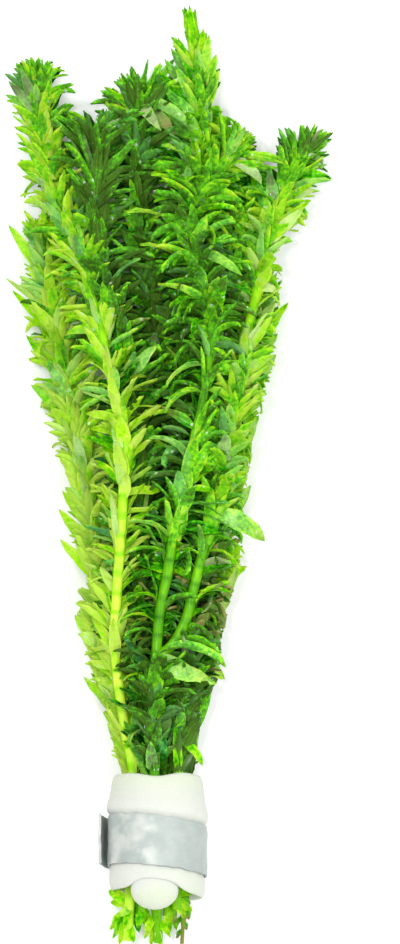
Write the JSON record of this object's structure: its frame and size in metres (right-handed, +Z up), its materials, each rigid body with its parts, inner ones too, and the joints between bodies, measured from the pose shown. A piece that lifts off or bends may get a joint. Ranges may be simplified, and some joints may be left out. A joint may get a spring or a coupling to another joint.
{
  "type": "waterweed bunch",
  "caption": "Cut bunch of Brazilian waterweed: leafy stems held near their cut ends by a foam roll with a soft metal strip round it, lying on its side.",
  "frame": {"origin": "centre of the bunch's footprint, on the surface it lies on", "axes": "+Y from the cut ends towards the shoot tips, +Z up, +X to the right when the tips point away"},
  "size_m": [0.0848, 0.2375, 0.0376],
  "materials": {
    "shoot_far_left": "satin",
    "shoot_left_edge": "satin",
    "shoot_left_bushy": "satin",
    "shoot_centre_back": "satin",
    "shoot_tallest": "satin",
    "shoot_centre_front": "satin",
    "branch_right": "satin",
    "shoot_right_edge": "satin",
    "shoot_right_short": "satin",
    "foam": "matte",
    "metal_strip": "satin"
  },
  "bodies": {
    "root": {"shoot_far_left": "shoot_far_left", "shoot_left_edge": "shoot_left_edge", "shoot_left_bushy": "shoot_left_bushy", "shoot_centre_back": "shoot_centre_back", "shoot_tallest": "shoot_tallest", "shoot_centre_front": "shoot_centre_front", "branch_right": "branch_right", "shoot_right_edge": "shoot_right_edge", "shoot_right_short": "shoot_right_short", "foam_wrap": "foam", "weight_strip": "metal_strip"}
  },
  "joints": []
}
